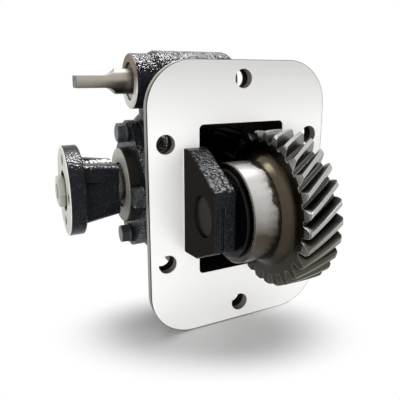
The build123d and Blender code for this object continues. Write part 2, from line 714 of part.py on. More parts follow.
def gasket(name, left):
    """Thin gasket between the housing and a cap."""
    with BuildPart() as sheet:
        with BuildSketch(across(left, OUTPUT)):
            add(cap_outline())
            Circle(BEARING_OUTER_R + FIT, mode=Mode.SUBTRACT)
            with PolarLocations(CAP_BOLT_CIRCLE / 2, 4):
                Circle(M8_R + 0.4, mode=Mode.SUBTRACT)
        extrude(amount=GASKET)
    keep(sheet.part, name)


# Bearing cap on the output side: square flange, machined disc, seal in its bore
CAP_SEAT_X = BOSS_FACE_LEFT - GASKET
with BuildPart() as bearing_cap:
    with BuildSketch(across(CAP_FLANGE_X, OUTPUT)):
        add(cap_outline())
    extrude(amount=CAP_SEAT_X - CAP_FLANGE_X)
    with BuildSketch(across(CAP_FACE_X, OUTPUT)):
        Circle(CAP_DISC_R)
    extrude(amount=CAP_FLANGE_X - CAP_FACE_X)
    chamfer(bearing_cap.faces().sort_by(Axis.X)[0].edges(), 0.8)
    with BuildSketch(across(CAP_SEAT_X, OUTPUT)):
        Circle(SPIGOT_R)
    extrude(amount=LEFT_BEARING_X - CAP_SEAT_X - FIT)
    with BuildSketch(across(CAP_FACE_X, OUTPUT)):
        Circle(SEAL_R + FIT)
    extrude(amount=SEAL_WIDTH + SEAL_RECESS, mode=Mode.SUBTRACT)
    with BuildSketch(across(CAP_FACE_X, OUTPUT)):
        Circle(SEAL_SLEEVE_R + 1.5)
    extrude(amount=LEFT_BEARING_X - CAP_FACE_X, mode=Mode.SUBTRACT)
    with BuildSketch(across(CAP_SEAT_X - 1.5, OUTPUT)):
        Circle(SPIGOT_BORE_R)
    extrude(amount=LEFT_BEARING_X - CAP_SEAT_X + 1.5, mode=Mode.SUBTRACT)
    with BuildSketch(across(CAP_FLANGE_X, OUTPUT)):
        with PolarLocations(CAP_BOLT_CIRCLE / 2, 4):
            Circle(M8_R + 0.4)
    extrude(amount=CAP_SEAT_X - CAP_FLANGE_X, mode=Mode.SUBTRACT)
keep(bearing_cap.part, "bearing_cap")
gasket("cap_gasket", CAP_SEAT_X)
ring("output_seal", OUTPUT, CAP_FACE_X + SEAL_RECESS, SEAL_WIDTH, SEAL_R, SEAL_SLEEVE_R + FIT, bevel=0.6)
bolt_group("cap", CAP_FLANGE_X, -1)

# End cover over the right bearing
COVER_SEAT_X = CHAMBER_RIGHT + GASKET
COVER_FACE_X = COVER_SEAT_X + COVER_THICK
with BuildPart() as end_cover:
    with BuildSketch(across(COVER_SEAT_X, OUTPUT)):
        add(cap_outline())
    extrude(amount=COVER_THICK)
    with BuildSketch(across(RIGHT_BEARING_X + BEARING_WIDTH + FIT, OUTPUT)):
        Circle(SPIGOT_R)
    extrude(amount=COVER_SEAT_X - RIGHT_BEARING_X - BEARING_WIDTH - FIT)
    with BuildSketch(across(RIGHT_BEARING_X + BEARING_WIDTH, OUTPUT)):
        Circle(SPIGOT_BORE_R)
    extrude(amount=COVER_THICK - 2, mode=Mode.SUBTRACT)
    with BuildSketch(across(COVER_SEAT_X, OUTPUT)):
        with PolarLocations(CAP_BOLT_CIRCLE / 2, 4):
            Circle(M8_R + 0.4)
    extrude(amount=COVER_THICK, mode=Mode.SUBTRACT)
keep(end_cover.part, "end_cover")
gasket("cover_gasket", CHAMBER_RIGHT)
bolt_group("cover", COVER_FACE_X, 1)

# Companion flange: round rim, tapering square hub with a scallop at each bolt
with BuildPart() as companion_flange:
    with BuildSketch(across(FLANGE_FACE_X + FLANGE_RIM, OUTPUT)):
        RectangleRounded(2 * FLANGE_HUB_WIDE, 2 * FLANGE_HUB_WIDE, 5)
    with BuildSketch(across(FLANGE_HUB_END, OUTPUT)):
        RectangleRounded(2 * FLANGE_HUB_NARROW, 2 * FLANGE_HUB_NARROW, 6)
    loft()
    with BuildSketch(across(FLANGE_FACE_X + FLANGE_RIM, OUTPUT)):
        with PolarLocations(SCALLOP_CENTRE_R, 4):
            Circle(SCALLOP_R)
    extrude(amount=FLANGE_HUB_END - FLANGE_FACE_X, mode=Mode.SUBTRACT)
    with BuildSketch(across(FLANGE_FACE_X, OUTPUT)):
        Circle(FLANGE_R)
    extrude(amount=FLANGE_RIM)
    rim_edges = companion_flange.edges().filter_by(GeomType.CIRCLE)
    chamfer(rim_edges.sort_by(SortBy.RADIUS)[-2:], 0.8)
    with BuildSketch(across(FLANGE_FACE_X, OUTPUT)):
        Circle(FLANGE_RECESS_R)
        with PolarLocations(FLANGE_BOLT_CIRCLE / 2, 4):
            Circle(FLANGE_HOLE / 2)
    extrude(amount=FLANGE_RECESS, mode=Mode.SUBTRACT)
    with BuildSketch(across(FLANGE_FACE_X, OUTPUT)):
        with PolarLocations(FLANGE_BOLT_CIRCLE / 2, 4):
            Circle(FLANGE_HOLE / 2)
    extrude(amount=FLANGE_RIM, mode=Mode.SUBTRACT)
    with BuildSketch(across(FLANGE_FACE_X, OUTPUT)):
        Circle(SPLINE_R + FIT)
        with PolarLocations(SPLINE_R + FIT, SPLINE_COUNT):
            Rectangle(2 * (SPLINE_DEPTH - 0.1), SPLINE_WIDTH - 0.2, mode=Mode.SUBTRACT)
    extrude(amount=FLANGE_HUB_END - FLANGE_FACE_X, mode=Mode.SUBTRACT)
keep(companion_flange.part, "companion_flange")
RECESS_FLOOR = FLANGE_FACE_X + FLANGE_RECESS
NUT_WASHER = 2.4
ring("flange_washer", OUTPUT, RECESS_FLOOR - NUT_WASHER, NUT_WASHER, 12, SHAFT_THREAD_R + 0.2, bevel=0.4)
with BuildPart() as flange_nut:
    with BuildSketch(across(RECESS_FLOOR - NUT_WASHER, OUTPUT)):
        RegularPolygon(NUT_HEX / 2, 6, major_radius=False)
        Circle(SHAFT_THREAD_R + FIT, mode=Mode.SUBTRACT)
    extrude(amount=-NUT_HEIGHT)
    chamfer(flange_nut.faces().sort_by(Axis.X)[0].outer_wire().edges(), 0.8)
keep(flange_nut.part, "flange_nut")

# Clutch sleeve that the fork slides along the output shaft
with BuildPart() as clutch_sleeve:
    with BuildSketch(across(SLEEVE_LEFT, OUTPUT)):
        Circle(SLEEVE_R)
    extrude(amount=SLEEVE_LENGTH)
    chamfer(clutch_sleeve.edges().filter_by(GeomType.CIRCLE), 1)
    with BuildSketch(across(GROOVE_LEFT, OUTPUT)):
        Circle(SLEEVE_R)
        Circle(GROOVE_R, mode=Mode.SUBTRACT)
    extrude(amount=GROOVE_WIDTH, mode=Mode.SUBTRACT)
    with BuildSketch(across(SLEEVE_LEFT, OUTPUT)):
        clutch_splines(CLUTCH_TIP_R + CLUTCH_GAP, CLUTCH_ROOT_R + CLUTCH_GAP, -CLUTCH_GAP)
    extrude(amount=SLEEVE_LENGTH, mode=Mode.SUBTRACT)
keep(clutch_sleeve.part, "clutch_sleeve")

# Shift rod: round, with a flat tang outside and two detent grooves inside
with BuildPart() as shift_rod:
    with BuildSketch(across(ROD_LEFT, ROD)):
        Circle(ROD_R)
    extrude(amount=ROD_RIGHT - ROD_LEFT)
    chamfer(shift_rod.edges().filter_by(GeomType.CIRCLE), 1)
    climb = ROD_R - TANG_THICK / 2
    run_out = sqrt(TANG_CUTTER_R**2 - (TANG_CUTTER_R - climb) ** 2)
    with BuildSketch(along(ROD)):
        with BuildLine():
            Line((ROD_LEFT, TANG_THICK / 2), (ROD_SHOULDER - run_out, TANG_THICK / 2))
            RadiusArc((ROD_SHOULDER - run_out, TANG_THICK / 2), (ROD_SHOULDER, ROD_R), -TANG_CUTTER_R)
            Polyline(
                (ROD_SHOULDER, ROD_R),
                (ROD_SHOULDER, ROD_R + 1),
                (ROD_LEFT, ROD_R + 1),
                (ROD_LEFT, TANG_THICK / 2),
            )
        make_face()
        mirror(about=Plane.XZ)
    extrude(amount=ROD_R + 1, both=True, mode=Mode.SUBTRACT)
    with BuildSketch(Plane(origin=(ROD_LEFT + 11, ROD_Y, ROD_Z))):
        Circle(TANG_HOLE / 2)
    extrude(amount=ROD_R, both=True, mode=Mode.SUBTRACT)
    with BuildSketch(along(ROD)):
        for groove_x in (DETENT_X, DETENT_X + ROD_TRAVEL):
            with BuildLine():
                Polyline(
                    (groove_x - DETENT_GROOVE, ROD_R + 0.1),
                    (groove_x, ROD_R - DETENT_GROOVE),
                    (groove_x + DETENT_GROOVE, ROD_R + 0.1),
                    close=True,
                )
            make_face()
    revolve(axis=axis_of(ROD), mode=Mode.SUBTRACT)
    with BuildSketch(Plane(origin=(FORK_PIN_X, ROD_Y, ROD_Z))):
        Circle(FORK_PIN_R + FIT)
    extrude(amount=ROD_R, both=True, mode=Mode.SUBTRACT)
keep(shift_rod.part, "shift_rod")

# Shift fork, pinned to the rod
FORK_LEFT = GROOVE_LEFT + (GROOVE_WIDTH - FORK_THICK) / 2
with BuildPart() as shift_fork:
    with BuildSketch(across(FORK_LEFT, OUTPUT)):
        Circle(FORK_ARC_R)
        with Locations((0, -FORK_ARM / 2)):
            Rectangle(2 * FORK_ARC_R, FORK_ARM)
        Circle(GROOVE_R + FORK_GAP, mode=Mode.SUBTRACT)
        with Locations((0, -FORK_ARC_R / 2)):
            Rectangle(2 * (GROOVE_R + FORK_GAP), FORK_ARC_R, mode=Mode.SUBTRACT)
        with Locations((0, -FORK_ARM - FORK_ARC_R / 2)):
            Rectangle(3 * FORK_ARC_R, FORK_ARC_R, mode=Mode.SUBTRACT)
        web_foot = GROOVE_R + 4
        with Locations((0, (web_foot + ROD_Z - OUTPUT_Z) / 2)):
            Rectangle(FORK_WEB, ROD_Z - OUTPUT_Z - web_foot)
    extrude(amount=FORK_THICK)
    with BuildSketch(across(FORK_HUB_LEFT, ROD)):
        Circle(FORK_HUB_R)
    extrude(amount=FORK_HUB_RIGHT - FORK_HUB_LEFT)
    with BuildSketch(across(FORK_HUB_LEFT, ROD)):
        Circle(ROD_R + FIT)
    extrude(amount=FORK_HUB_RIGHT - FORK_HUB_LEFT, mode=Mode.SUBTRACT)
    with BuildSketch(Plane(origin=(FORK_PIN_X, ROD_Y, ROD_Z))):
        Circle(FORK_PIN_R + FIT)
    extrude(amount=FORK_HUB_R, both=True, mode=Mode.SUBTRACT)
keep(shift_fork.part, "shift_fork")
with BuildPart() as fork_pin:
    with BuildSketch(Plane(origin=(FORK_PIN_X, ROD_Y, ROD_Z))):
        Circle(FORK_PIN_R)
    extrude(amount=FORK_HUB_R - 0.8, both=True)
keep(fork_pin.part, "fork_pin")

# Detent: ball, spring and plug behind the rod, and the rod's seal
BALL_OUT = ROD_R + DETENT_BALL_R + FIT
with BuildPart() as detent_ball:
    with Locations((DETENT_X, ROD_Y + BALL_OUT, ROD_Z)):
        Sphere(DETENT_BALL_R)
keep(detent_ball.part, "detent_ball")
SPRING_START = BALL_OUT + DETENT_BALL_R + DETENT_WIRE_R
SPRING_LENGTH = DETENT_BOSS - DETENT_PLUG - SPRING_START - DETENT_WIRE_R
with BuildPart() as detent_spring:
    with BuildLine():
        spring_foot = (DETENT_X, ROD_Y + SPRING_START, ROD_Z)
        coil = Helix(DETENT_PITCH, SPRING_LENGTH, DETENT_SPRING_R, center=spring_foot, direction=(0, 1, 0))
    with BuildSketch(Plane(origin=coil @ 0, z_dir=coil % 0)):
        Circle(DETENT_WIRE_R)
    sweep(path=coil, is_frenet=True)
keep(detent_spring.part, "detent_spring")
with BuildPart() as detent_plug:
    with BuildSketch(behind_rod(DETENT_BOSS - DETENT_PLUG)):
        Circle(DETENT_PLUG_R)
    extrude(amount=DETENT_PLUG)
    with BuildSketch(behind_rod(DETENT_BOSS)):
        RegularPolygon(DETENT_HEX / 2, 6, major_radius=False)
    extrude(amount=DETENT_PLUG)
    chamfer(detent_plug.faces().sort_by(Axis.Y)[-1].edges(), 0.8)
keep(detent_plug.part, "detent_plug")
ROD_SEAL_X = TUBE_NOSE_LEFT + ROD_SEAL_RECESS
ring("rod_seal", ROD, ROD_SEAL_X, ROD_SEAL_WIDTH, ROD_SEAL_R, ROD_R + FIT, bevel=0.5)
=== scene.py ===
import math

import bpy
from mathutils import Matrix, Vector


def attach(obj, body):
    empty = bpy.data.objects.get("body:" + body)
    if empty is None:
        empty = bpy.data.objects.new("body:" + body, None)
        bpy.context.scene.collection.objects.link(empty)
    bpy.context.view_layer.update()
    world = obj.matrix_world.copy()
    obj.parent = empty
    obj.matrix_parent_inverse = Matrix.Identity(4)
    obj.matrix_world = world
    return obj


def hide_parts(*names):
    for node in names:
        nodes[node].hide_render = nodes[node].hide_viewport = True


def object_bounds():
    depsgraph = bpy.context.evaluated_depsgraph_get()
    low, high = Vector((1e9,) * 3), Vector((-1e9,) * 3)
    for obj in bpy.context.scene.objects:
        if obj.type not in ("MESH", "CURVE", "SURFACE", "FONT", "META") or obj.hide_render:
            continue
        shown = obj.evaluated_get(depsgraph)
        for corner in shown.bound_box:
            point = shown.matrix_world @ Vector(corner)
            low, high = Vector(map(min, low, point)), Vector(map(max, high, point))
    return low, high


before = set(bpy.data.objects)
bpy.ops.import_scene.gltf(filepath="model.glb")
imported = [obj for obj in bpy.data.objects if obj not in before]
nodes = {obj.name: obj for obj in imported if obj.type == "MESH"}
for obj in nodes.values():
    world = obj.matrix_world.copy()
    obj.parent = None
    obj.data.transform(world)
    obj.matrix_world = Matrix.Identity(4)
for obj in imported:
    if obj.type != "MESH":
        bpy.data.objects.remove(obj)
cad_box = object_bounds()


# Studio. A pale floor under the unit, a white world that metal can mirror, soft boxes
# above and in front of it, two small lamps for the sparkle in the enamel, and the camera
# at the photograph's viewing angle.
def feed(tree, node, inputs):
    """Links or sets a node's inputs by name or number."""
    for key, value in inputs.items():
        if isinstance(value, bpy.types.NodeSocket):
            tree.links.new(value, node.inputs[key])
        else:
            node.inputs[key].default_value = value


def place(tree, kind, inputs=None, **settings):
    """Adds one node with its settings and inputs."""
    made = tree.nodes.new(kind if "Node" in kind else "ShaderNode" + kind)
    for key, value in settings.items():
        setattr(made, key, value)
    feed(tree, made, inputs or {})
    return made


def reckon(tree, operation, *values):
    """Adds one Math node and gives its result."""
    return place(tree, "Math", dict(enumerate(values)), operation=operation).outputs[0]


def times(tree, value, factor):
    """Product of two numbers."""
    return reckon(tree, "MULTIPLY", value, factor)


def plus(tree, value, amount):
    """Sum of two numbers."""
    return reckon(tree, "ADD", value, amount)


def ramp(tree, value, start, end, low=0.0, high=1.0, smooth=False):
    """Number that goes from low to high as value goes from start to end."""
    kind = "SMOOTHSTEP" if smooth else "LINEAR"
    inputs = {0: value, 1: start, 2: end, 3: low, 4: high}
    return place(tree, "MapRange", inputs, interpolation_type=kind).outputs[0]


def spot_on(tree):
    """Place on the piece."""
    return place(tree, "TexCoord").outputs["Object"]


def parts_of(tree, vector):
    """The three parts of a vector."""
    return place(tree, "SeparateXYZ", {0: vector}).outputs


def vector_of(tree, *parts):
    """Vector with these parts, and 0 for those left out."""
    return place(tree, "CombineXYZ", dict(enumerate(parts))).outputs[0]


def distance(tree, first, second):
    """Length of the flat vector with these two parts."""
    return place(tree, "VectorMath", {0: vector_of(tree, first, second)}, operation="LENGTH").outputs["Value"]


def white_to_the_eye(tree):
    """1 for the rays that show the background: camera, glossy and transmission."""
    path = place(tree, "LightPath").outputs
    seen = reckon(tree, "MAXIMUM", path["Is Camera Ray"], path["Is Glossy Ray"])
    return reckon(tree, "MAXIMUM", seen, path["Is Transmission Ray"])


white = (1, 1, 1, 1)
air_level = 0.5
world = bpy.data.worlds.new("studio_air")
world.use_nodes = True
bpy.context.scene.world = world
air = world.node_tree
air.nodes.clear()
strength = plus(air, air_level, times(air, white_to_the_eye(air), 1.0 - air_level))
sky = place(air, "Background", {"Color": white, "Strength": strength})
place(air, "OutputWorld", {"Surface": sky.outputs[0]})

floor_gap = 0.0004
floor_reach = 30.0
floor_height = cad_box[0][2] - floor_gap
corners = [(-1, -1), (1, -1), (1, 1), (-1, 1)]
floor_points = [(x * floor_reach, y * floor_reach, floor_height) for x, y in corners]
floor_mesh = bpy.data.meshes.new("floor")
floor_mesh.from_pydata(floor_points, [], [(0, 1, 2, 3)])
floor = bpy.data.objects.new("floor", floor_mesh)
bpy.context.collection.objects.link(floor)

# The floor is matt in a slanting oval, where the shadow falls, and white beyond it
oval_turn, oval_narrowness = math.radians(25), 2.0
oval_left, oval_near = 0.022, 0.015
oval_start, oval_end = 0.04, 0.108
matt_grey = (0.8, 0.8, 0.8, 1)
floor_paper = bpy.data.materials.new("floor_paper")
floor_paper.use_nodes = True
paper = floor_paper.node_tree
paper.nodes.clear()
turn = {"Vector": spot_on(paper), "Angle": oval_turn}
along, towards, _ = parts_of(paper, place(paper, "VectorRotate", turn, rotation_type="Z_AXIS").outputs[0])
across = times(paper, plus(paper, towards, oval_near), oval_narrowness)
from_unit = distance(paper, plus(paper, along, oval_left), across)
far = ramp(paper, from_unit, oval_start, oval_end, smooth=True)
shown = times(paper, far, white_to_the_eye(paper))
matt = place(paper, "BsdfDiffuse", {"Color": matt_grey})
glow = place(paper, "Emission", {"Color": white, "Strength": 1.0})
mixed = place(paper, "MixShader", {0: shown, 1: matt.outputs[0], 2: glow.outputs[0]})
place(paper, "OutputMaterial", {"Surface": mixed.outputs[0]})
floor_mesh.materials.append(floor_paper)


def soft_box(name, spot, aim, width, height, power):
    """Rectangular lamp at a spot, turned to its aim."""
    lamp = bpy.data.lights.new(name, "AREA")
    lamp.shape = "RECTANGLE"
    lamp.size = width
    lamp.size_y = height
    lamp.energy = power
    holder = bpy.data.objects.new(name, lamp)
    holder.location = spot
    holder.rotation_euler = (Vector(aim) - Vector(spot)).to_track_quat("-Z", "Y").to_euler()
    bpy.context.collection.objects.link(holder)
    return holder


def sparkle_on(name, power):
    """Lamp overhead that only the painted pieces in its collection catch or block."""
    spot, aim, width = (0.22, 0.26, 0.95), (0.22, 0.2595, 0.03), 0.34
    pieces = bpy.data.collections.new(name + "_pieces")
    lamp = soft_box(name, spot, aim, width, width, power)
    lamp.visible_diffuse = False
    lamp.light_linking.receiver_collection = pieces
    lamp.light_linking.blocker_collection = pieces
    return pieces


soft_box("top_light", spot=(0.0, 0.45, 1.0), aim=(0, 0.02, 0), width=1.1, height=0.8, power=11.0)
fill = soft_box("front_light", spot=(-0.6, -1.1, 0.0), aim=(0, 0, 0), width=0.9, height=0.5, power=20.0)
fill.visible_glossy = False
painted = sparkle_on("sparkle", power=62.0)
overhung = sparkle_on("sparkle_under_the_rod", power=95.0)

camera_data = bpy.data.cameras.new("camera")
camera_data.lens = 38.35
camera_data.sensor_width = 36.0
camera_data.shift_x = -0.0051
camera_data.shift_y = -0.086
camera_data.clip_start = 0.01
camera = bpy.data.objects.new("camera", camera_data)
camera.location = (-0.1385, -0.2339, 0.0791)
camera.rotation_euler = (math.radians(77.83), 0, math.radians(-25.14))
bpy.context.collection.objects.link(camera)
bpy.context.scene.camera = camera
bpy.context.scene.view_settings.view_transform = "Standard"


# Housing. One sand casting in grey iron under black enamel, with its mounting face, the
# nose of the shift tube and the seats of the washers machined bare. The enamel doesn't
# reach the inside, which is dark with oil and painted shade. Painted shade also darkens the
# face along its top, the bolt holes deep in and the ears' outer sides, and the nose carries a
# painted reflection.
def group_start(name, inputs, outputs):
    """Starts a shader node group: its tree, its inputs' sockets and its output node."""
    tree = bpy.data.node_groups.new(name, "ShaderNodeTree")
    for label, value in inputs:
        tree.interface.new_socket(label, in_out="INPUT", socket_type="NodeSocketFloat").default_value = value
    for label in outputs:
        tree.interface.new_socket(label, in_out="OUTPUT", socket_type="NodeSocketFloat")
    return tree, tree.nodes.new("NodeGroupInput").outputs, tree.nodes.new("NodeGroupOutput")


def use(tree, group, inputs):
    """Places a shader node group in a material and gives its outputs."""
    return place(tree, "ShaderNodeGroup", inputs, node_tree=group).outputs


def less(tree, value, amount):
    """Difference of two numbers."""
    return reckon(tree, "SUBTRACT", value, amount)


def from_axis(tree, spot, axis):
    """Distance from an axis along X that has this Y and Z."""
    return distance(tree, less(tree, spot[1], axis[0]), less(tree, spot[2], axis[1]))


def noise(tree, where, scale, detail, roughness=0.5):
    """Cloudy pattern from 0 to 1."""
    inputs = {"Vector": where, "Scale": scale, "Detail": detail, "Roughness": roughness}
    return place(tree, "TexNoise", inputs).outputs[0]


# Sand-cast skin under paint: pebbled height, and random flecks of painted glint
cast_skin, given, result = group_start("cast_skin", [("Grain", 900.0)], ["Height", "Painted Glint"])
where = spot_on(cast_skin)
pebbles = noise(cast_skin, where, given["Grain"], 3.0, 0.6)
waves = noise(cast_skin, where, times(cast_skin, given["Grain"], 0.3), 2.0)
cell_inputs = {"Vector": where, "Scale": given["Grain"]}
cells = place(cast_skin, "TexVoronoi", cell_inputs, feature="SMOOTH_F1").outputs[0]
height = plus(cast_skin, times(cast_skin, waves, 0.6), pebbles)
height = less(cast_skin, height, times(cast_skin, cells, 1.2))
feed(cast_skin, result, {"Height": height, "Painted Glint": ramp(cast_skin, pebbles, 0.56, 0.7)})

# Worn edges: where a rounded copy of the surface would turn away from the real one
edge_wear, given, result = group_start("edge_wear", [("Radius", 0.0006), ("Raggedness", 900.0)], ["Mask"])
rounded = place(edge_wear, "Bevel", {"Radius": given["Radius"]}, samples=6).outputs[0]
flat = place(edge_wear, "NewGeometry").outputs["Normal"]
alike = place(edge_wear, "VectorMath", {0: rounded, 1: flat}, operation="DOT_PRODUCT").outputs["Value"]
ragged = noise(edge_wear, spot_on(edge_wear), given["Raggedness"], 3.0)
worn = times(edge_wear, less(edge_wear, 1.0, alike), times(edge_wear, ragged, 2.0))
feed(edge_wear, result, {"Mask": ramp(edge_wear, worn, 0.03, 0.16)})

# Tool marks: rings round a shaft's axis, on faces and on turned sides alike
tool_marks, given, result = group_start(
    "tool_marks", [("Axis Y", 0.0), ("Axis Z", 0.0), ("Lines", 2600.0)], ["Height", "Tone", "Radius"]
)
where = spot_on(tool_marks)
spot = parts_of(tool_marks, where)
radius = from_axis(tool_marks, spot, (given["Axis Y"], given["Axis Z"]))
lines = noise(tool_marks, vector_of(tool_marks, spot[0], radius), given["Lines"], 2.0)
blotches = noise(tool_marks, where, 70.0, 4.0)
feed(tool_marks, result, {"Height": lines, "Tone": blotches, "Radius": radius})


def new_finish(name):
    """New material, with its tree and its Principled shader."""
    material = bpy.data.materials.new(name)
    material.use_nodes = True
    return material, material.node_tree, material.node_tree.nodes["Principled BSDF"]


def worn_edges(tree, width):
    """1 along worn edges about this wide."""
    return use(tree, edge_wear, {"Radius": width})["Mask"]


def tint(tree, share, first, second):
    """Colour between two, by share."""
    return place(tree, "Mix", {0: share, 6: first, 7: second}, data_type="RGBA").outputs[2]


def bump(tree, height, depth, strength=1.0):
    """Normal of a surface with this height, its depth in metres."""
    return place(tree, "Bump", {"Height": height, "Distance": depth, "Strength": strength}).outputs[0]


def near(tree, value, target, width=0.0003):
    """1 where a value is at its target, else 0."""
    return reckon(tree, "COMPARE", value, target, width)


def below(tree, value, limit):
    """1 where a value is below its limit."""
    return reckon(tree, "LESS_THAN", value, limit)


def above(tree, value, limit):
    """1 where a value is above its limit."""
    return reckon(tree, "GREATER_THAN", value, limit)


def both(tree, first, *others):
    """1 where all masks are."""
    for other in others:
        first = times(tree, first, other)
    return first


def either(tree, first, *others):
    """Largest of several masks."""
    for other in others:
        first = reckon(tree, "MAXIMUM", first, other)
    return first


def without(tree, mask):
    """1 where a mask isn't."""
    return less(tree, 1.0, mask)


def casting(name, bare_places, relief=0.0007):
    """Black enamel over a rough casting.

    bare_places gives the share that is bare, its colour and roughness, and the share of metal.
    """
    deep_black, pale_black = (0.0035, 0.004, 0.0048, 1), (0.01, 0.0115, 0.0135, 1)
    glint_colour, worn_colour = (0.06, 0.075, 0.1, 1), (0.1, 0.105, 0.11, 1)
    grain, edge_width, glint_share, worn_share = 640.0, 0.0007, 0.25, 0.35
    metal_share, enamel_gloss = 0.45, 0.08
    material, tree, shader = new_finish(name)
    where = spot_on(tree)
    bare, bare_colour, bare_rough, metal = bare_places(tree, where)
    skin = use(tree, cast_skin, {"Grain": grain})
    drift = noise(tree, where, 45.0, 3.0)
    enamel = tint(tree, drift, deep_black, pale_black)
    # painted glints: pale flecks in the enamel, where the paint would shine
    enamel = tint(tree, times(tree, skin["Painted Glint"], glint_share), enamel, glint_colour)
    enamel = tint(tree, times(tree, worn_edges(tree, edge_width), worn_share), enamel, worn_colour)
    enamel_rough = ramp(tree, drift, 0.3, 0.7, 0.12, 0.22)
    height = times(tree, skin["Height"], without(tree, bare))
    feed(tree, shader, {
        "Base Color": tint(tree, bare, enamel, bare_colour),
        "Roughness": place(tree, "Mix", {0: bare, 2: enamel_rough, 3: bare_rough}).outputs[0],
        "Metallic": times(tree, metal, metal_share),
        "Specular IOR Level": enamel_gloss,
        "Normal": bump(tree, height, relief),
    })
    return material


# Y and Z of the axes along X of the idler shaft, output shaft and shift rod
idler_axis, shaft_axis, rod_axis = (-0.0263, 0.0), (0.056784, 0.002), (0.056784, 0.074)


def housing_bare(tree, where):
    """Machined and oily places of the housing, and the painted shade and reflection on it."""
    spot = parts_of(tree, where)
    x, y, z = spot
    width = reckon(tree, "ABSOLUTE", x)
    rise = reckon(tree, "ABSOLUTE", z)
    mottle = noise(tree, where, 26.0, 5.0)

    # ground mounting face, with painted shade along the top
    ground_dim, ground_pale, ground_face_top_shade = (0.84, 0.835, 0.82, 1), (0.9, 0.895, 0.88, 1), (0.28, 0.28, 0.27, 1)
    top_shade_start, top_shade_end = 0.045, 0.085
    face = near(tree, y, 0.0)
    painted_top_shade = times(tree, ramp(tree, z, top_shade_start, top_shade_end), 0.5)
    face_colour = tint(tree, painted_top_shade, tint(tree, mottle, ground_dim, ground_pale), ground_face_top_shade)

    # edge of the mounting flange: a pale strip, with a dark line beside the face
    strip_colour, line_colour = (0.27, 0.265, 0.23, 1), (0.03, 0.022, 0.016, 1)
    half_width, half_height, corner, strip_from = 0.0636, 0.0877, 0.029, 0.0287
    strip_width, line_width = 0.0058, 0.0016
    corner_x = reckon(tree, "MAXIMUM", less(tree, width, half_width - corner), 0.0)
    corner_z = reckon(tree, "MAXIMUM", less(tree, rise, half_height - corner), 0.0)
    at_edge = above(tree, distance(tree, corner_x, corner_z), strip_from)
    rim = both(tree, at_edge, below(tree, y, strip_width))
    rim_colour = tint(tree, below(tree, y, line_width), strip_colour, line_colour)

    # six bolt holes, bare drilled metal near the face and painted shade deeper in
    side_x, side_z, end_z, hole_radius = 0.0524, 0.0381, 0.0762, 0.0063
    flange_back, bright_depth = 0.0126, 0.0055
    side_hole = distance(tree, less(tree, width, side_x), less(tree, rise, side_z))
    end_hole = distance(tree, x, less(tree, rise, end_z))
    nearest = reckon(tree, "MINIMUM", side_hole, end_hole)
    in_hole = both(tree, below(tree, nearest, hole_radius), below(tree, y, flange_back), without(tree, face))
    drilled = both(tree, in_hole, below(tree, y, bright_depth))

    # gear chamber and the throat that leads to it, dark with oil and painted shade
    chamber_radius, chamber_half, chamber_left = 0.0459, 0.0415, -0.0365
    throat_half_width, throat_half_height, throat_front, throat_back = 0.0307, 0.0491, 0.0004, 0.06
    in_round = below(tree, from_axis(tree, spot, shaft_axis), chamber_radius)
    chamber = both(tree, in_round, below(tree, width, chamber_half), above(tree, x, chamber_left))
    deep = both(tree, above(tree, y, throat_front), below(tree, y, throat_back))
    throat = both(tree, below(tree, width, throat_half_width), below(tree, rise, throat_half_height), deep)
    inside = both(tree, either(tree, chamber, throat), without(tree, face))

    # outer sides of the ears, sawn flat, and dark with painted shade
    ear_left, ear_right, ear_back = -0.041, 0.0382, -0.0004
    on_side = either(tree, near(tree, x, ear_left), near(tree, x, ear_right))
    shaded_ear_side = both(tree, on_side, below(tree, y, ear_back))

    # nose of the shift tube, with a painted reflection: brown above the rod, pale below
    nose_pale, nose_reflected_brown = (0.62, 0.61, 0.57, 1), (0.17, 0.125, 0.095, 1)
    nose_end, nose_radius, reflection_start, reflection_end = -0.0567, 0.0195, -0.006, 0.004
    nose = both(tree, below(tree, x, nose_end), below(tree, from_axis(tree, spot, rod_axis), nose_radius))
    stain_and_reflection = ramp(tree, less(tree, z, rod_axis[1]), reflection_start, reflection_end)
    nose_colour = tint(tree, stain_and_reflection, nose_pale, nose_reflected_brown)

    # washer seats on the inner sides of the ears
    seat_left, seat_right, seat_radius = -0.027, 0.0242, 0.0262
    on_seat = either(tree, near(tree, x, seat_left), near(tree, x, seat_right))
    seat = both(tree, on_seat, below(tree, from_axis(tree, spot, idler_axis), seat_radius))

    seat_colour, drilled_colour = (0.2, 0.19, 0.18, 1), (0.24, 0.22, 0.2, 1)
    # near black and rough: oil with painted shade inside, and painted shade deep in the holes and on the
    # ears' outer sides
    oil_and_shade_colour, oil_and_shade_rough = (0.008, 0.006, 0.005, 1), 0.9
    oil_and_shade_places = either(tree, in_hole, inside, shaded_ear_side)
    colour = tint(tree, rim, face_colour, rim_colour)
    colour = tint(tree, nose, colour, nose_colour)
    colour = tint(tree, seat, colour, seat_colour)
    colour = tint(tree, oil_and_shade_places, colour, oil_and_shade_colour)
    colour = tint(tree, drilled, colour, drilled_colour)
    rough = reckon(tree, "MAXIMUM", ramp(tree, mottle, 0.3, 0.7, 0.38, 0.5), times(tree, oil_and_shade_places, oil_and_shade_rough))
    bare = either(tree, face, rim, nose, seat, oil_and_shade_places)
    metal = either(tree, both(tree, bare, without(tree, oil_and_shade_places)), drilled)
    return bare, colour, rough, metal


def dress(material, *names, lamp_pieces=None):
    """Gives solid pieces their finish, and painted ones the lamp for their enamel."""
    for name in names:
        slots = nodes[name].data.materials
        slots.clear()
        slots.append(material)
        if lamp_pieces:
            lamp_pieces.objects.link(nodes[name])


dress(casting("housing_enamel", housing_bare), "housing", lamp_pieces=painted)


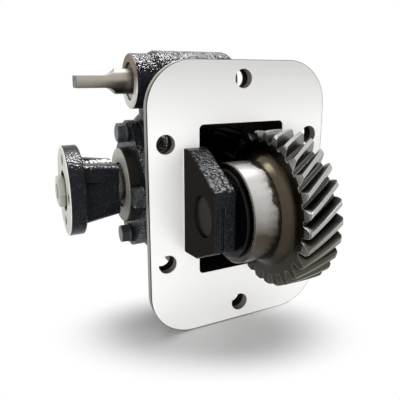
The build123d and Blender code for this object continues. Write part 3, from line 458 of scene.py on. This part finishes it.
# End cover. A square cap in grey iron over the blind bearing, cast, and painted with the
# housing. Four bolts hold it.
def nowhere_bare(tree, where):
    """No bare place in sight."""
    far_left, iron_grey, iron_rough, no_metal = -1.0, (0.3, 0.3, 0.3, 1), 0.5, 0.0
    return below(tree, parts_of(tree, where)[0], far_left), iron_grey, iron_rough, no_metal


dress(casting("cover_enamel", nowhere_bare), "end_cover", lamp_pieces=painted)


# Idler shaft, its lock pin and the thrust washers. The shaft and pin are dark oiled
# steel, fixed in the ears; the washers are glossy with black oil.
def marks_round(tree, axis, lines=2600.0):
    """Tool marks round an axis along X: their height, tone and radius."""
    return use(tree, tool_marks, {"Axis Y": axis[0], "Axis Z": axis[1], "Lines": lines})


def plain_steel(name, colour, roughness, axis, stain_and_reflection=0.35, stain_colour=(0.05, 0.035, 0.02, 1)):
    """Turned steel with tool marks round an axis, stains and bright edges."""
    brightening, edge_width, worn_share, rough_spread, mark_depth = 1.7, 0.0005, 0.6, 0.12, 0.00003
    material, tree, shader = new_finish(name)
    marks = marks_round(tree, axis)
    base = tint(tree, times(tree, ramp(tree, marks["Tone"], 0.35, 0.7), stain_and_reflection), colour, stain_colour)
    bright = [min(1.0, part * brightening) for part in colour[:3]] + [1]
    feed(tree, shader, {
        "Base Color": tint(tree, times(tree, worn_edges(tree, edge_width), worn_share), base, bright),
        "Metallic": 1.0,
        "Roughness": ramp(tree, marks["Tone"], 0.2, 0.8, roughness, roughness + rough_spread),
        "Normal": bump(tree, marks["Height"], mark_depth, 0.6),
    })
    return material


dark_pin = plain_steel("dark_pin_steel", (0.012, 0.007, 0.005, 1), 0.5, idler_axis)
dress(dark_pin, "idler_shaft", "idler_lock_pin")
washer_steel = plain_steel("oiled_washer", (0.012, 0.014, 0.017, 1), 0.22, idler_axis)
dress(washer_steel, "idler_left_washer", "idler_right_washer")


# Input gear and its bush. Case-hardened steel with a ground hub, ground teeth and a black
# oily web, over a pressed bronze bush. Oil has dried brown on the hub beside the gear and
# along its underside, where painted shade darkens it too; the teeth carry painted shade
# in their roots and on the lower side.
gear_finish, tree, shader = new_finish("input_gear_steel")
marks = marks_round(tree, idler_axis, lines=3000.0)
where = spot_on(tree)
x, _, z = parts_of(tree, where)
radius = marks["Radius"]
ragged_by = 0.022
smear = noise(tree, where, 48.0, 5.0, 0.6)
smear_shift = times(tree, less(tree, smear, 0.5), ragged_by)

# Hub: bare and bright to the film's ragged edge, then brown with dried oil
ground_colour, underside_oil_and_shade = (0.62, 0.61, 0.59, 1), (0.07, 0.058, 0.042, 1)
web_foot = (0.022, 0.018, 0.012, 1)
film_pale, film_brown, film_dark = (0.105, 0.09, 0.062, 1), (0.07, 0.05, 0.036, 1), (0.05, 0.04, 0.028, 1)
film_start, film_end, under_start, under_end = -0.0118, -0.0104, 0.02, -0.006
foot_start, foot_end, end_start, end_end = 0.0315, 0.0345, -0.0231, -0.0242
film = ramp(tree, plus(tree, x, smear_shift), film_start, film_end)
# painted shade: the hub darkens and browns towards its underside, part dried oil and part shade
oil_and_shade_below = ramp(tree, less(tree, z, times(tree, smear_shift, 0.7)), under_start, under_end)
ground_hub = tint(tree, oil_and_shade_below, ground_colour, underside_oil_and_shade)
dried_oil = tint(tree, ramp(tree, marks["Tone"], 0.35, 0.65), film_pale, film_brown)
dried_oil = tint(tree, oil_and_shade_below, dried_oil, film_dark)
hub_colour = tint(tree, film, ground_hub, dried_oil)
hub_colour = tint(tree, ramp(tree, radius, foot_start, foot_end), hub_colour, web_foot)
hub_colour = tint(tree, ramp(tree, x, end_start, end_end), hub_colour, film_dark)

# Teeth: bright lands, with painted shade on the lower side, and flanks with painted shade towards the root
land_bright, land_shaded = (0.44, 0.44, 0.425, 1), (0.1, 0.09, 0.068, 1)
root_bright, root_shaded = (0.055, 0.055, 0.051, 1), (0.025, 0.023, 0.018, 1)
flank_bright, flank_shaded, flank_stain = (0.19, 0.19, 0.18, 1), (0.08, 0.074, 0.06, 1), (0.1, 0.07, 0.045, 1)
low_start, low_end = 0.004, -0.02
root_radius, flank_radius, land_radius = 0.0395, 0.0455, 0.0462
low = ramp(tree, z, low_start, low_end)
land = tint(tree, low, land_bright, land_shaded)
root = tint(tree, low, root_bright, root_shaded)
flank = tint(tree, low, flank_bright, flank_shaded)
flank = tint(tree, ramp(tree, radius, root_radius, flank_radius), root, flank)
flank = tint(tree, ramp(tree, marks["Tone"], 0.5, 0.75), flank, flank_stain)
tooth_colour = tint(tree, above(tree, radius, land_radius), flank, land)

# End faces: an oily web inside, and the teeth's ground ends outside, with painted shade low down
web_dark, web_brown = (0.015, 0.013, 0.01, 1), (0.04, 0.035, 0.026, 1)
end_bright, end_shaded, edge_bright = (0.34, 0.34, 0.32, 1), (0.03, 0.026, 0.02, 1), (0.8, 0.8, 0.78, 1)
left_face, right_face, hub_stop, face_width = -0.0018, 0.0202, -0.00195, 0.0001
web_radius, ends_radius = 0.0408, 0.0414
web = tint(tree, smear, web_dark, web_brown)
tooth_end = tint(tree, low, end_bright, end_shaded)
end_face = tint(tree, ramp(tree, radius, web_radius, ends_radius), web, tooth_end)
at_face = either(tree, near(tree, x, left_face, face_width), near(tree, x, right_face, face_width))
gear_colour = tint(tree, at_face, tooth_colour, end_face)
base = tint(tree, above(tree, x, hub_stop), hub_colour, gear_colour)
# worn bright edges, fewer low down, as painted shade
edge_share = times(tree, worn_edges(tree, 0.0005), ramp(tree, low, 0.0, 1.0, 0.9, 0.35))
feed(tree, shader, {
    "Base Color": tint(tree, edge_share, base, edge_bright),
    "Metallic": 1.0,
    "Roughness": ramp(tree, marks["Tone"], 0.2, 0.8, 0.2, 0.36),
    "Normal": bump(tree, marks["Height"], 0.00002, 0.5),
})
dress(gear_finish, "input_gear")
bronze = plain_steel("bush_bronze", (0.5, 0.33, 0.16, 1), 0.3, idler_axis)
dress(bronze, "idler_bush")


# Output gear, its bush and the clutch sleeve. Hardened steel over a bronze bush, black
# with oil inside the housing, where the sleeve's inner teeth lock the gear to the shaft.
inner_colour, black_oil = (0.016, 0.013, 0.011, 1), (0.006, 0.005, 0.004, 1)
inner_steel = plain_steel("oily_gear_steel", inner_colour, 0.28, shaft_axis, stain_colour=black_oil)
dress(inner_steel, "output_gear", "clutch_sleeve")
dress(bronze, "output_gear_bush")


# Output shaft, with its tapered roller bearings, thrust washers, circlip and the sleeve
# that the seal runs on. Hardened steel, ground where it turns, brown with oil outside.
journal_colour, brown_oil = (0.3, 0.27, 0.22, 1), (0.1, 0.05, 0.035, 1)
journal = plain_steel("ground_journal", journal_colour, 0.2, shaft_axis, stain_colour=brown_oil)
dress(journal, "output_shaft", "seal_sleeve", "gear_left_washer", "gear_right_washer")
bearing_steel = plain_steel("bearing_steel", (0.6, 0.6, 0.6, 1), 0.15, shaft_axis)
dress(bearing_steel, "left_bearing_cup", "left_bearing_cone", "left_bearing_rollers")
dress(bearing_steel, "right_bearing_cup", "right_bearing_cone", "right_bearing_rollers")
dress(dark_pin, "shaft_circlip")


# Bearing cap. A square iron cap with a painted flange and a disc turned bare, over a
# paper gasket, with a lip seal in its bore.
def cap_bare(tree, where):
    """Turned disc of the bearing cap with painted shade towards its bottom, its side dark with oil."""
    disc_dim, disc_pale, disc_shaded_low = (0.42, 0.42, 0.38, 1), (0.54, 0.54, 0.5, 1), (0.17, 0.165, 0.15, 1)
    side_colour, disc_rough = (0.018, 0.015, 0.012, 1), 0.42
    disc_face_x, disc_foot_x, low_start, low_end = -0.0664, -0.0605, 0.022, -0.012
    x, _, z = parts_of(tree, where)
    disc_colour = tint(tree, marks_round(tree, shaft_axis, lines=2400.0)["Tone"], disc_dim, disc_pale)
    # painted shade towards the bottom of the disc
    disc_colour = tint(tree, ramp(tree, z, low_start, low_end), disc_colour, disc_shaded_low)
    colour = tint(tree, below(tree, x, disc_face_x), side_colour, disc_colour)
    bare = below(tree, x, disc_foot_x)
    return bare, colour, disc_rough, bare


dress(casting("cap_enamel", cap_bare), "bearing_cap", lamp_pieces=painted)

paper_dark, paper_pale = (0.025, 0.018, 0.012, 1), (0.07, 0.05, 0.03, 1)
gasket_paper, tree, shader = new_finish("gasket_paper")
fibres = noise(tree, spot_on(tree), 600.0, 4.0)
feed(tree, shader, {
    "Base Color": tint(tree, fibres, paper_dark, paper_pale),
    "Roughness": 0.7,
    "Normal": bump(tree, fibres, 0.0001),
})
dress(gasket_paper, "cap_gasket", "cover_gasket")

rubber_black, rubber_brown = (0.01, 0.008, 0.008, 1), (0.05, 0.03, 0.022, 1)
seal_rubber, tree, shader = new_finish("seal_rubber")
smear = noise(tree, spot_on(tree), 150.0, 4.0)
feed(tree, shader, {
    "Base Color": tint(tree, smear, rubber_black, rubber_brown),
    "Roughness": ramp(tree, smear, 0.3, 0.7, 0.4, 0.6),
    "Normal": bump(tree, smear, 0.0001),
})
dress(seal_rubber, "output_seal")


# Cap and cover bolts. Eight M8 hexagon bolts in black oxide, their corners turned back to
# a cone, each over a split spring washer that grips the painted flange.
oxide_dark, oxide_pale, oxide_worn = (0.016, 0.018, 0.021, 1), (0.06, 0.065, 0.07, 1), (0.2, 0.21, 0.22, 1)
bolt_black, tree, shader = new_finish("bolt_black")
mottle = noise(tree, spot_on(tree), 400.0, 4.0)
oxide = tint(tree, mottle, oxide_dark, oxide_pale)
feed(tree, shader, {
    "Base Color": tint(tree, times(tree, worn_edges(tree, 0.0004), 0.5), oxide, oxide_worn),
    "Metallic": 0.3,
    "Specular IOR Level": 0.3,
    "Roughness": ramp(tree, mottle, 0.3, 0.7, 0.22, 0.42),
    "Normal": bump(tree, mottle, 0.0001, 0.6),
})


def shape_start(name, inputs):
    """Starts a tree that makes a shape from named sizes: the tree and its inputs' sockets."""
    tree = bpy.data.node_groups.new(name, "GeometryNodeTree")
    for label in inputs:
        tree.interface.new_socket(label, in_out="INPUT", socket_type="NodeSocketFloat")
    tree.interface.new_socket("Piece", in_out="OUTPUT", socket_type="NodeSocketGeometry")
    return tree, tree.nodes.new("NodeGroupInput").outputs


def combined(tree, operation, parts):
    """One closed mesh from several, by an exact union or intersection."""
    made = place(tree, "GeometryNodeMeshBoolean", operation=operation, solver="EXACT")
    for part in parts:
        tree.links.new(part, made.inputs[1])
    return made.outputs[0]


def moved(tree, mesh, height):
    """Mesh lifted along its own axis."""
    lift = vector_of(tree, 0.0, 0.0, height)
    return place(tree, "GeometryNodeTransform", {"Geometry": mesh, "Translation": lift}).outputs[0]


def ring_of(tree, given, piece, material, seed):
    """Ends a tree with four pieces on a circle round the shaft, each turned by chance."""
    circle = place(tree, "GeometryNodeMeshCircle", {"Vertices": 4, "Radius": given["Circle Radius"]})
    full_turn = (0, 0, 2 * math.pi)
    chance = place(tree, "FunctionNodeRandomValue", {1: full_turn, "Seed": seed}, data_type="FLOAT_VECTOR")
    on_points = {"Points": circle.outputs[0], "Instance": piece, "Rotation": chance.outputs[0]}
    spread = place(tree, "GeometryNodeInstanceOnPoints", on_points)
    seat = vector_of(tree, given["Seat X"], given["Axis Y"], given["Axis Z"])
    lean = vector_of(tree, 0.0, given["Lean"])
    along_shaft = {"Geometry": spread.outputs[0], "Translation": seat, "Rotation": lean}
    laid = place(tree, "GeometryNodeTransform", along_shaft)
    real = place(tree, "GeometryNodeRealizeInstances", {0: laid.outputs[0]})
    finished = place(tree, "GeometryNodeSetMaterial", {"Geometry": real.outputs[0], "Material": material})
    tree.links.new(finished.outputs[0], tree.nodes.new("NodeGroupOutput").inputs["Piece"])


def made_by(tree, name, sizes, body, node):
    """Plain mesh that a tree makes with these sizes, in the place of a solid piece."""
    maker = bpy.data.objects.new(name + "_maker", bpy.data.meshes.new(name + "_maker"))
    bpy.context.collection.objects.link(maker)
    modifier = maker.modifiers.new("shape", "NODES")
    modifier.node_group = tree
    for item in tree.interface.items_tree:
        if item.in_out == "INPUT":
            modifier[item.identifier] = sizes[item.name]
    graph = bpy.context.evaluated_depsgraph_get()
    mesh = bpy.data.meshes.new_from_object(maker.evaluated_get(graph), depsgraph=graph)
    bpy.data.objects.remove(maker)
    # the mesh starts with an empty finish slot, before its own
    mesh.materials.pop(index=0)
    piece = bpy.data.objects.new(name, mesh)
    bpy.context.collection.objects.link(piece)
    painted.objects.link(piece)
    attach(piece, body)
    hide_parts(node)


ring_sizes = ["Circle Radius", "Seat X", "Axis Y", "Axis Z", "Lean"]

# Bolt: a six-sided bar cut by a cone, with a shank that reaches a little into the head
cone_top_share, cone_slope, shank_overlap = 0.47, 1.9, 0.001
hex_bolts, given = shape_start("hex_bolts", ["Across Flats", "Head", "Shank Radius", "Shank"] + ring_sizes)
corner_radius = reckon(hex_bolts, "DIVIDE", given["Across Flats"], math.sqrt(3))
bar_sizes = {"Vertices": 6, "Radius": corner_radius, "Depth": given["Head"]}
bar = place(hex_bolts, "GeometryNodeMeshCylinder", bar_sizes).outputs[0]
bar = moved(hex_bolts, bar, times(hex_bolts, given["Head"], 0.5))
cone_top = times(hex_bolts, given["Across Flats"], cone_top_share)
cone_foot = plus(hex_bolts, cone_top, times(hex_bolts, given["Head"], cone_slope))
cone_sizes = {"Vertices": 48, "Radius Top": cone_top, "Radius Bottom": cone_foot, "Depth": given["Head"]}
cone = place(hex_bolts, "GeometryNodeMeshCone", cone_sizes).outputs[0]
head = combined(hex_bolts, "INTERSECT", [bar, cone])
shank_sizes = {"Vertices": 24, "Radius": given["Shank Radius"], "Depth": given["Shank"]}
shank = place(hex_bolts, "GeometryNodeMeshCylinder", shank_sizes).outputs[0]
shank = moved(hex_bolts, shank, plus(hex_bolts, times(hex_bolts, given["Shank"], -0.5), shank_overlap))
ring_of(hex_bolts, given, combined(hex_bolts, "UNION", [head, shank]), bolt_black, seed=3)

# Spring washer: square wire along one turn of a shallow coil, open at the split
wire_names = ["Mean Radius", "Width", "Thickness", "Rise"]
spring_washers, given = shape_start("spring_washers", wire_names + ring_sizes)
coil_sizes = {
    "Resolution": 40,
    "Rotations": 0.975,
    "Start Radius": given["Mean Radius"],
    "End Radius": given["Mean Radius"],
    "Height": given["Rise"],
}
coil = place(spring_washers, "GeometryNodeCurveSpiral", coil_sizes).outputs[0]
coil = place(spring_washers, "GeometryNodeSetCurveNormal", {"Curve": coil}, mode="Z_UP").outputs[0]
wire_sizes = {"Width": given["Width"], "Height": given["Thickness"]}
wire = place(spring_washers, "GeometryNodeCurvePrimitiveQuadrilateral", wire_sizes).outputs[0]
swept = {"Curve": coil, "Profile Curve": wire, "Fill Caps": True}
split_ring = place(spring_washers, "GeometryNodeCurveToMesh", swept).outputs[0]
split_ring = moved(spring_washers, split_ring, times(spring_washers, given["Thickness"], 0.5))
ring_of(spring_washers, given, split_ring, bolt_black, seed=8)

washer_height = 0.002
washer_sizes = {"Mean Radius": 0.0055, "Width": 0.0026, "Thickness": 0.0017, "Rise": 0.0003}
bolt_sizes = {"Across Flats": 0.012, "Head": 0.0054, "Shank Radius": 0.004, "Shank": 0.023}
for side_name, seat_x, outward in (("cap", -0.0604, -1.0), ("cover", 0.0495, 1.0)):
    ring_place = {"Circle Radius": 0.037, "Axis Y": shaft_axis[0], "Axis Z": shaft_axis[1]}
    ring_place["Lean"] = outward * math.pi / 2
    bolts_there = {**bolt_sizes, **ring_place, "Seat X": seat_x + outward * washer_height}
    made_by(hex_bolts, side_name + "_hex_bolts", bolts_there, "housing", side_name + "_bolts")
    washers_there = {**washer_sizes, **ring_place, "Seat X": seat_x}
    node = side_name + "_spring_washers"
    made_by(spring_washers, side_name + "_split_washers", washers_there, "housing", node)


# Companion flange, its washer and nut. A painted forging with a turned face; the nut
# and washer are plated steel.
def flange_bare(tree, where):
    """Turned front face and recess of the companion flange."""
    front_dim, front_pale, edge_pale = (0.42, 0.42, 0.38, 1), (0.62, 0.62, 0.57, 1), (0.7, 0.7, 0.66, 1)
    front_x, edge_radius, front_rough = -0.1046, 0.0295, 0.4
    marks = marks_round(tree, shaft_axis, lines=2400.0)
    colour = tint(tree, marks["Tone"], front_dim, front_pale)
    colour = tint(tree, above(tree, marks["Radius"], edge_radius), colour, edge_pale)
    bare = below(tree, parts_of(tree, where)[0], front_x)
    return bare, colour, front_rough, bare


forged_relief = 0.00024
flange_enamel = casting("flange_enamel", flange_bare, forged_relief)
dress(flange_enamel, "companion_flange", lamp_pieces=overhung)
nut_zinc = plain_steel("plated_nut", (0.5, 0.53, 0.46, 1), 0.25, shaft_axis, stain_and_reflection=0.2)
dress(nut_zinc, "flange_nut", "flange_washer")


# Shift rod, its seal, the fork and the fork pin. The rod is turned from warm grey steel
# with a milled tang, and slides in a seal with a steel case; the fork is dark iron.
rod_pale, rod_dim, rod_shaded_under = (0.46, 0.43, 0.37, 1), (0.35, 0.325, 0.275, 1), (0.085, 0.08, 0.065, 1)
shoulder_colour, edge_colour = (0.03, 0.027, 0.022, 1), (0.5, 0.48, 0.42, 1)
shoulder_x, line_width, under_start, under_end = -0.0938, 0.0002, 0.002, -0.007
rod_steel, tree, shader = new_finish("rod_steel")
marks = marks_round(tree, rod_axis, lines=3200.0)
x, _, z = parts_of(tree, spot_on(tree))
base = tint(tree, marks["Tone"], rod_pale, rod_dim)
# painted shade on the rod's underside
base = tint(tree, ramp(tree, less(tree, z, rod_axis[1]), under_start, under_end), base, rod_shaded_under)
base = tint(tree, near(tree, x, shoulder_x, line_width), base, shoulder_colour)
feed(tree, shader, {
    "Base Color": tint(tree, times(tree, worn_edges(tree, 0.0005), 0.5), base, edge_colour),
    "Metallic": 1.0,
    "Roughness": ramp(tree, marks["Tone"], 0.2, 0.8, 0.3, 0.42),
    "Normal": bump(tree, marks["Height"], 0.00003, 0.6),
})
dress(rod_steel, "shift_rod")

case_pale, case_reflected_brown, case_stain = (0.4, 0.38, 0.34, 1), (0.1, 0.075, 0.06, 1), (0.05, 0.04, 0.035, 1)
dark_start, dark_end = -0.008, 0.003
seal_case, tree, shader = new_finish("seal_case")
x, _, z = parts_of(tree, spot_on(tree))
# painted reflection: the case is brown above the rod and pale below, as on the nose
base = tint(tree, ramp(tree, less(tree, z, rod_axis[1]), dark_start, dark_end), case_pale, case_reflected_brown)
stained = ramp(tree, marks_round(tree, rod_axis)["Tone"], 0.5, 0.8)
feed(tree, shader, {"Base Color": tint(tree, stained, base, case_stain), "Metallic": 0.8, "Roughness": 0.4})
dress(seal_case, "rod_seal")

fork_iron = plain_steel("fork_iron", (0.08, 0.075, 0.07, 1), 0.4, rod_axis)
dress(fork_iron, "shift_fork", "fork_pin")


# Detent of the shift rod. A polished ball is pressed into the rod's groove by a spring
# under a black plug.
dress(bearing_steel, "detent_ball", "detent_spring")
dress(bolt_black, "detent_plug")
